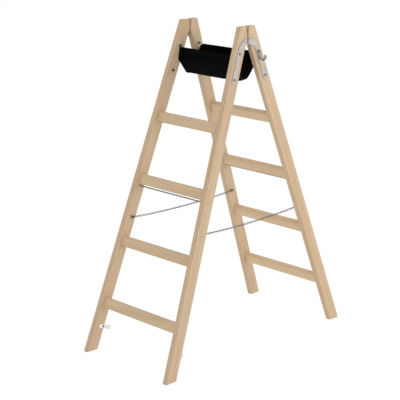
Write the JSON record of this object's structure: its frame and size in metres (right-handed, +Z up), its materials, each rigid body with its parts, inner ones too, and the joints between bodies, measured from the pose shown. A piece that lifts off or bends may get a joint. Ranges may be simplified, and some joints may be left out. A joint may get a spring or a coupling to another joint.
{
  "type": "trestle ladder",
  "caption": "Wooden A-frame trestle ladder with rungs on both sides, steel arch hinges, check chains, a bucket hook, transport clips and a cloth tool bag under the hinge.",
  "frame": {"origin": "on the floor, midway between the four feet of the open ladder", "axes": "+X along the rungs to the right seen from the front, +Y from the front frame to the rear one, +Z up"},
  "size_m": [0.522, 1.1102, 1.4039],
  "materials": {
    "stile_wood": "planed softwood with a clear matt finish",
    "rung_wood": "planed hardwood with a clear matt finish",
    "tie_rod_steel": "bright steel rod",
    "rod_nut_steel": "zinc-plated",
    "hinge_zinc": "zinc-plated flat steel",
    "bolt_steel": "zinc-plated, dulled",
    "washer_zinc": "zinc-plated",
    "hook_zinc": "zinc-plated bent strip",
    "clip_plastic": "moulded white plastic",
    "screw_steel": "zinc-plated",
    "chain_zinc": "zinc-plated welded links",
    "bag_cloth": "black coated woven cloth",
    "bag_screw_black": "blackened"
  },
  "bodies": {
    "front_frame": {"front_left_stile": "stile_wood", "front_right_stile": "stile_wood", "front_rung_1": "rung_wood", "front_rung_2": "rung_wood", "front_rung_3": "rung_wood", "front_rung_4": "rung_wood", "front_tie_rod": "tie_rod_steel", "front_rod_nuts": "rod_nut_steel", "left_hinge_front_leaf": "hinge_zinc", "left_hinge_rivet": "hinge_zinc", "right_hinge_front_leaf": "hinge_zinc", "right_hinge_rivet": "hinge_zinc", "front_hinge_bolts": "bolt_steel", "front_hinge_washers": "washer_zinc", "front_hinge_nuts": "bolt_steel", "left_transport_clip": "clip_plastic", "right_transport_clip": "clip_plastic", "clip_screws": "screw_steel", "front_chain_screws": "screw_steel", "front_chain_washers": "washer_zinc", "tool_bag": "bag_cloth", "front_bag_screws": "bag_screw_black", "front_bag_washers": "bag_screw_black"},
    "rear_frame": {"rear_left_stile": "stile_wood", "rear_right_stile": "stile_wood", "rear_rung_1": "rung_wood", "rear_rung_2": "rung_wood", "rear_rung_3": "rung_wood", "rear_rung_4": "rung_wood", "rear_tie_rod": "tie_rod_steel", "rear_rod_nuts": "rod_nut_steel", "left_hinge_rear_leaf": "hinge_zinc", "right_hinge_rear_leaf": "hinge_zinc", "rear_hinge_bolts": "bolt_steel", "rear_hinge_washers": "washer_zinc", "rear_hinge_nuts": "bolt_steel", "rear_chain_screws": "screw_steel", "rear_chain_washers": "washer_zinc", "rear_bag_screws": "bag_screw_black", "rear_bag_washers": "bag_screw_black"},
    "bucket_hook": {"bucket_hook": "hook_zinc"},
    "left_chain_front": {"left_chain_front": "chain_zinc"},
    "left_chain_middle": {"left_chain_middle": "chain_zinc"},
    "left_chain_rear": {"left_chain_rear": "chain_zinc"},
    "right_chain_front": {"right_chain_front": "chain_zinc"},
    "right_chain_middle": {"right_chain_middle": "chain_zinc"},
    "right_chain_rear": {"right_chain_rear": "chain_zinc"}
  },
  "joints": [
    {"name": "fold", "type": "hinge", "parent": "front_frame", "child": "rear_frame", "pos_m": [0, 0, 1.34102], "axis": [-1, 0, 0], "range_deg": [0, 40], "deforming": ["tool_bag", "left_chain_front", "left_chain_middle", "left_chain_rear", "right_chain_front", "right_chain_middle", "right_chain_rear"]},
    {"name": "hook_swing", "type": "hinge", "parent": "rear_frame", "child": "bucket_hook", "pos_m": [0.18635, 0.05688, 1.29584], "axis": [0.9986, -0.0184, 0.0505], "range_deg": [-45, 45]},
    {"name": "left_chain_front_swing", "type": "hinge", "parent": "front_frame", "child": "left_chain_front", "pos_m": [-0.1962, -0.31523, 0.57142], "axis": [-1, 0, 0], "range_deg": [0, 85]},
    {"name": "left_chain_middle_swing", "type": "hinge", "parent": "left_chain_front", "child": "left_chain_middle", "pos_m": [-0.1962, -0.01743, 0.56094], "axis": [1, 0, 0], "range_deg": [0, 45]},
    {"name": "left_chain_rear_swing", "type": "hinge", "parent": "rear_frame", "child": "left_chain_rear", "pos_m": [-0.1962, 0.31523, 0.57142], "axis": [1, 0, 0], "range_deg": [0, 125]},
    {"name": "right_chain_front_swing", "type": "hinge", "parent": "front_frame", "child": "right_chain_front", "pos_m": [0.1962, -0.31523, 0.57142], "axis": [-1, 0, 0], "range_deg": [0, 85]},
    {"name": "right_chain_middle_swing", "type": "hinge", "parent": "right_chain_front", "child": "right_chain_middle", "pos_m": [0.1962, -0.01743, 0.56094], "axis": [1, 0, 0], "range_deg": [0, 45]},
    {"name": "right_chain_rear_swing", "type": "hinge", "parent": "rear_frame", "child": "right_chain_rear", "pos_m": [0.1962, 0.31523, 0.57142], "axis": [1, 0, 0], "range_deg": [0, 125]}
  ],
  "couplings": [
    {"joint": "left_chain_front_swing", "follows": "fold", "ratio": 2.1144},
    {"joint": "left_chain_middle_swing", "follows": "fold", "ratio": 1.1058},
    {"joint": "left_chain_rear_swing", "follows": "fold", "ratio": 3.1144},
    {"joint": "right_chain_front_swing", "follows": "fold", "ratio": 2.1144},
    {"joint": "right_chain_middle_swing", "follows": "fold", "ratio": 1.1058},
    {"joint": "right_chain_rear_swing", "follows": "fold", "ratio": 3.1144}
  ]
}
